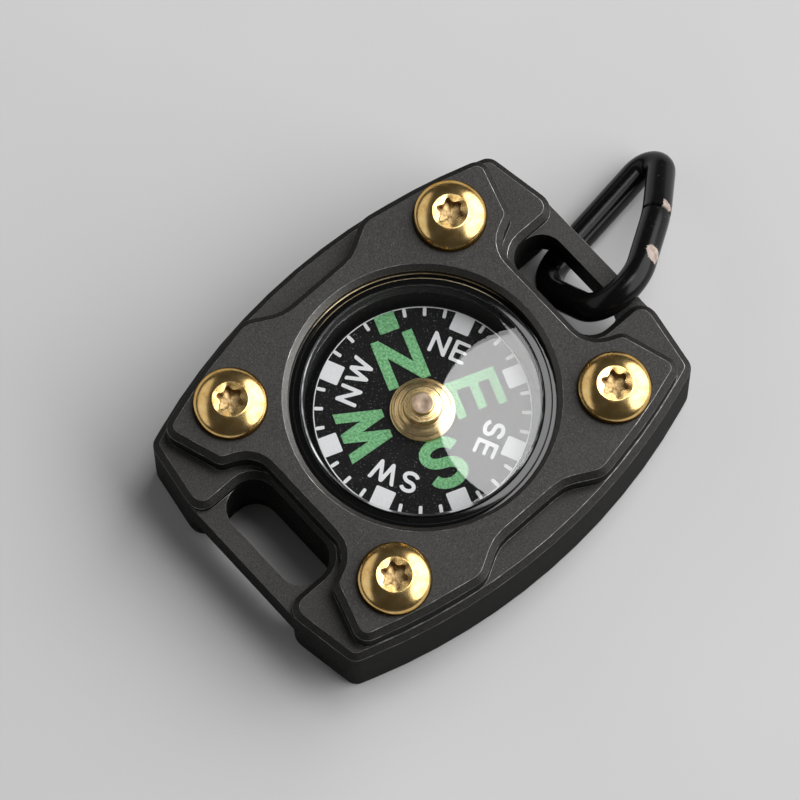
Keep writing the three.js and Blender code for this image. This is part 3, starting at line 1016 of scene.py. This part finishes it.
def letter_e(width, tall, stroke):
    right = width / 2
    left = -right
    spine = left + stroke
    arm = stroke * ARM_STROKE
    short = right - stroke * ARM_SHORTER
    low = tall * ARM_HEIGHT - arm / 2
    high = tall * ARM_HEIGHT + arm / 2
    return [
        (left, 0), (right, 0), (right, arm), (spine, arm),
        (spine, low), (short, low), (short, high), (spine, high),
        (spine, tall - arm), (right, tall - arm), (right, tall), (left, tall),
    ]


def letter_s(width, tall, stroke):
    across = (width - stroke) / 2
    up = (tall - stroke) / 4
    upper = arc(tall - stroke / 2 - up, across * S_TOP_WIDTH, up, S_START, 270)
    lower = arc(stroke / 2 + up, across, up, 90, S_END)
    return ribbon(upper + lower[1:], stroke)


def letter_w(width, tall, stroke):
    outer = (width - stroke) / 2
    inner = outer / 2
    foot = stroke * CORNER_INSET
    peak = tall - stroke * PEAK_INSET
    slope = (outer - inner) / (tall - foot)
    over = outer + slope * tall
    path = [(-over, 2 * tall), (-inner, foot), (0, peak), (inner, foot), (over, 2 * tall)]
    return trimmed(ribbon(path, stroke), 0, tall)


def big_letter(name, shape, clockwise, size):
    outline = shape(size["width"], size["tall"], size["stroke"])
    mark(name, [around(outline, clockwise, size["foot"], size["aside"])], LETTER_HEIGHT, LUME)


def small_letters():
    shapes = {"N": letter_n, "E": letter_e, "S": letter_s, "W": letter_w}
    for pair, place in SMALL_PAIRS.items():
        widths = [SMALL_WIDTHS[letter] for letter in pair]
        foot = place["middle"] - SMALL_TALL / 2
        start = place["aside"] - (sum(widths) + SMALL_GAP) / 2
        outlines = []
        for letter, width in zip(pair, widths):
            outline = shapes[letter](width, SMALL_TALL, SMALL_STROKE)
            rounded = eased(outline, SMALL_ROUND, closed=True)
            outlines.append(around(rounded, place["clockwise"], foot, start + width / 2))
            start += width + SMALL_GAP
        mark(f"letters_{pair.lower()}", outlines, MARK_HEIGHT, WHITE)


squares_and_ticks()
rim_line()
big_letter("letter_north", letter_n, 0, BIG_NORTH)
big_letter("letter_east", letter_e, 90, BIG_EAST)
big_letter("letter_south", letter_s, 180, BIG_SOUTH)
big_letter("letter_west", letter_w, 270, BIG_WEST)
small_letters()


# Key ring


def bend(before, corner, after):
    """Points of the arc that rounds one corner of the wire between its neighbours."""
    here = Vector(corner[:2])
    back = (Vector(before[:2]) - here).normalized()
    ahead = (Vector(after[:2]) - here).normalized()
    half = back.angle(ahead) / 2
    middle = here + (back + ahead).normalized() * (corner[2] / math.sin(half))
    start = here + back * (corner[2] / math.tan(half)) - middle
    sweep = math.copysign(math.pi - 2 * half, ahead.cross(back))
    turns = [Matrix.Rotation(sweep * step / BEND_STEPS, 2) for step in range(BEND_STEPS + 1)]
    return [middle + turn @ start for turn in turns]


def ring_path():
    """Middle line of the wire in its own plane, from one side of its butt joint round to the other."""
    bow = bend(RING_TIP, RING_BOW, RING_SHOULDER)
    half = BEND_STEPS // 2
    joint = bow[half]
    half_gap = (bow[half + 1] - bow[half - 1]).normalized() * (RING_JOINT_GAP / 2)
    return [
        joint + half_gap,
        *bow[half + 1:],
        *bend(RING_BOW, RING_SHOULDER, RING_CROOK),
        *bend(RING_SHOULDER, RING_CROOK, RING_HEEL),
        *bend(RING_CROOK, RING_HEEL, RING_TIP),
        *bend(RING_HEEL, RING_TIP, RING_BOW),
        *bow[:half],
        joint - half_gap,
    ]


def wire_spots(path):
    """Where the wire's rings of points lie: (place, direction, radius), with its two ends broken."""
    last = len(path) - 1
    spots = []
    for i, place in enumerate(path):
        along = (path[min(i + 1, last)] - path[max(i - 1, 0)]).normalized()
        if i == last:
            spots.append((place - along * WIRE_EDGE, along, WIRE_RADIUS))
        spots.append((place, along, WIRE_RADIUS - WIRE_EDGE if i in (0, last) else WIRE_RADIUS))
        if i == 0:
            spots.append((place + along * WIRE_EDGE, along, WIRE_RADIUS))
    return spots


def key_ring():
    turn = Matrix.Rotation(math.radians(RING_TURN), 3, "Z")
    slope = turn @ Matrix.Rotation(-math.radians(RING_TILT), 3, "X")
    points, faces = [], []
    for place, along, radius in wire_spots(ring_path()):
        for side in range(WIRE_SIDES):
            angle = 2 * math.pi * side / WIRE_SIDES
            across = place + along.orthogonal() * radius * math.cos(angle)
            level = Vector((across.x, -across.y, radius * math.sin(angle)))
            points.append(slope @ level + Vector(RING_PLACE))
    for low in range(0, len(points) - WIRE_SIDES, WIRE_SIDES):
        high = low + WIRE_SIDES
        for side in range(WIRE_SIDES):
            before = (side - 1) % WIRE_SIDES
            faces.append([low + before, high + before, high + side, low + side])
    first_end = list(range(WIRE_SIDES))
    last_end = list(range(len(points) - WIRE_SIDES, len(points)))
    faces += [first_end, last_end[::-1]]
    mesh = shaded("wire_ring", points, faces)
    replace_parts(piece("wire_ring", mesh, "ring", [black_wire()]), "key_ring")


key_ring()


# Floor, light and camera


def direction(bearing, elevation):
    """Unit vector at a bearing, in degrees anticlockwise from the picture's right, and an elevation."""
    turn = math.radians(VIEW_AZIMUTH + bearing)
    rise = math.radians(elevation)
    return Vector((math.cos(turn) * math.cos(rise), math.sin(turn) * math.cos(rise), math.sin(rise)))


def floor():
    mesh = bpy.data.meshes.new("floor")
    made = bmesh.new()
    bmesh.ops.create_grid(made, x_segments=1, y_segments=1, size=FLOOR_HALF * MM)
    made.to_mesh(mesh)
    made.free()
    mesh.materials.append(pale_floor())
    ground = bpy.data.objects.new("floor", mesh)
    ground.location.z = -FLOOR_DROP * MM
    bpy.context.scene.collection.objects.link(ground)


def softbox(name, bearing, elevation, distance, width, tall, glow):
    """An oval light panel that faces the compass."""
    lamp = bpy.data.lights.new(name, "AREA")
    lamp.shape = "ELLIPSE"
    lamp.size = width * MM
    lamp.size_y = tall * MM
    lamp.energy = glow * math.pi * (math.pi / 4 * width * tall * MM ** 2)
    holder = bpy.data.objects.new(name, lamp)
    towards = direction(bearing, elevation)
    holder.location = towards * distance * MM
    holder.rotation_euler = (-towards).to_track_quat("-Z", "Y").to_euler()
    bpy.context.scene.collection.objects.link(holder)


def studio_light():
    softbox("glass_light", **GLASS_LIGHT)
    softbox("right_light", **RIGHT_LIGHT)
    softbox("left_light", **LEFT_LIGHT)
    world = bpy.data.worlds.new("studio")
    world.use_nodes = True
    sky = world.node_tree.nodes["Background"]
    sky.inputs["Color"].default_value = grey(1.0)
    sky.inputs["Strength"].default_value = SKY_GLOW
    bpy.context.scene.world = world


def camera():
    back = direction(VIEW_BEARING, VIEW_ELEVATION)
    lens = bpy.data.cameras.new("camera")
    lens.lens = VIEW_LENS
    lens.sensor_width = VIEW_SENSOR
    lens.shift_x, lens.shift_y = VIEW_SHIFT
    lens.clip_start = VIEW_NEAR * MM
    eye = bpy.data.objects.new("camera", lens)
    eye.location = Vector((0, 0, case_top * MM)) + back * VIEW_DISTANCE * MM
    eye.rotation_euler = (-back).to_track_quat("-Z", "Y").to_euler()
    bpy.context.scene.collection.objects.link(eye)
    bpy.context.scene.camera = eye


floor()
studio_light()
camera()
bpy.context.scene.view_settings.view_transform = "Standard"
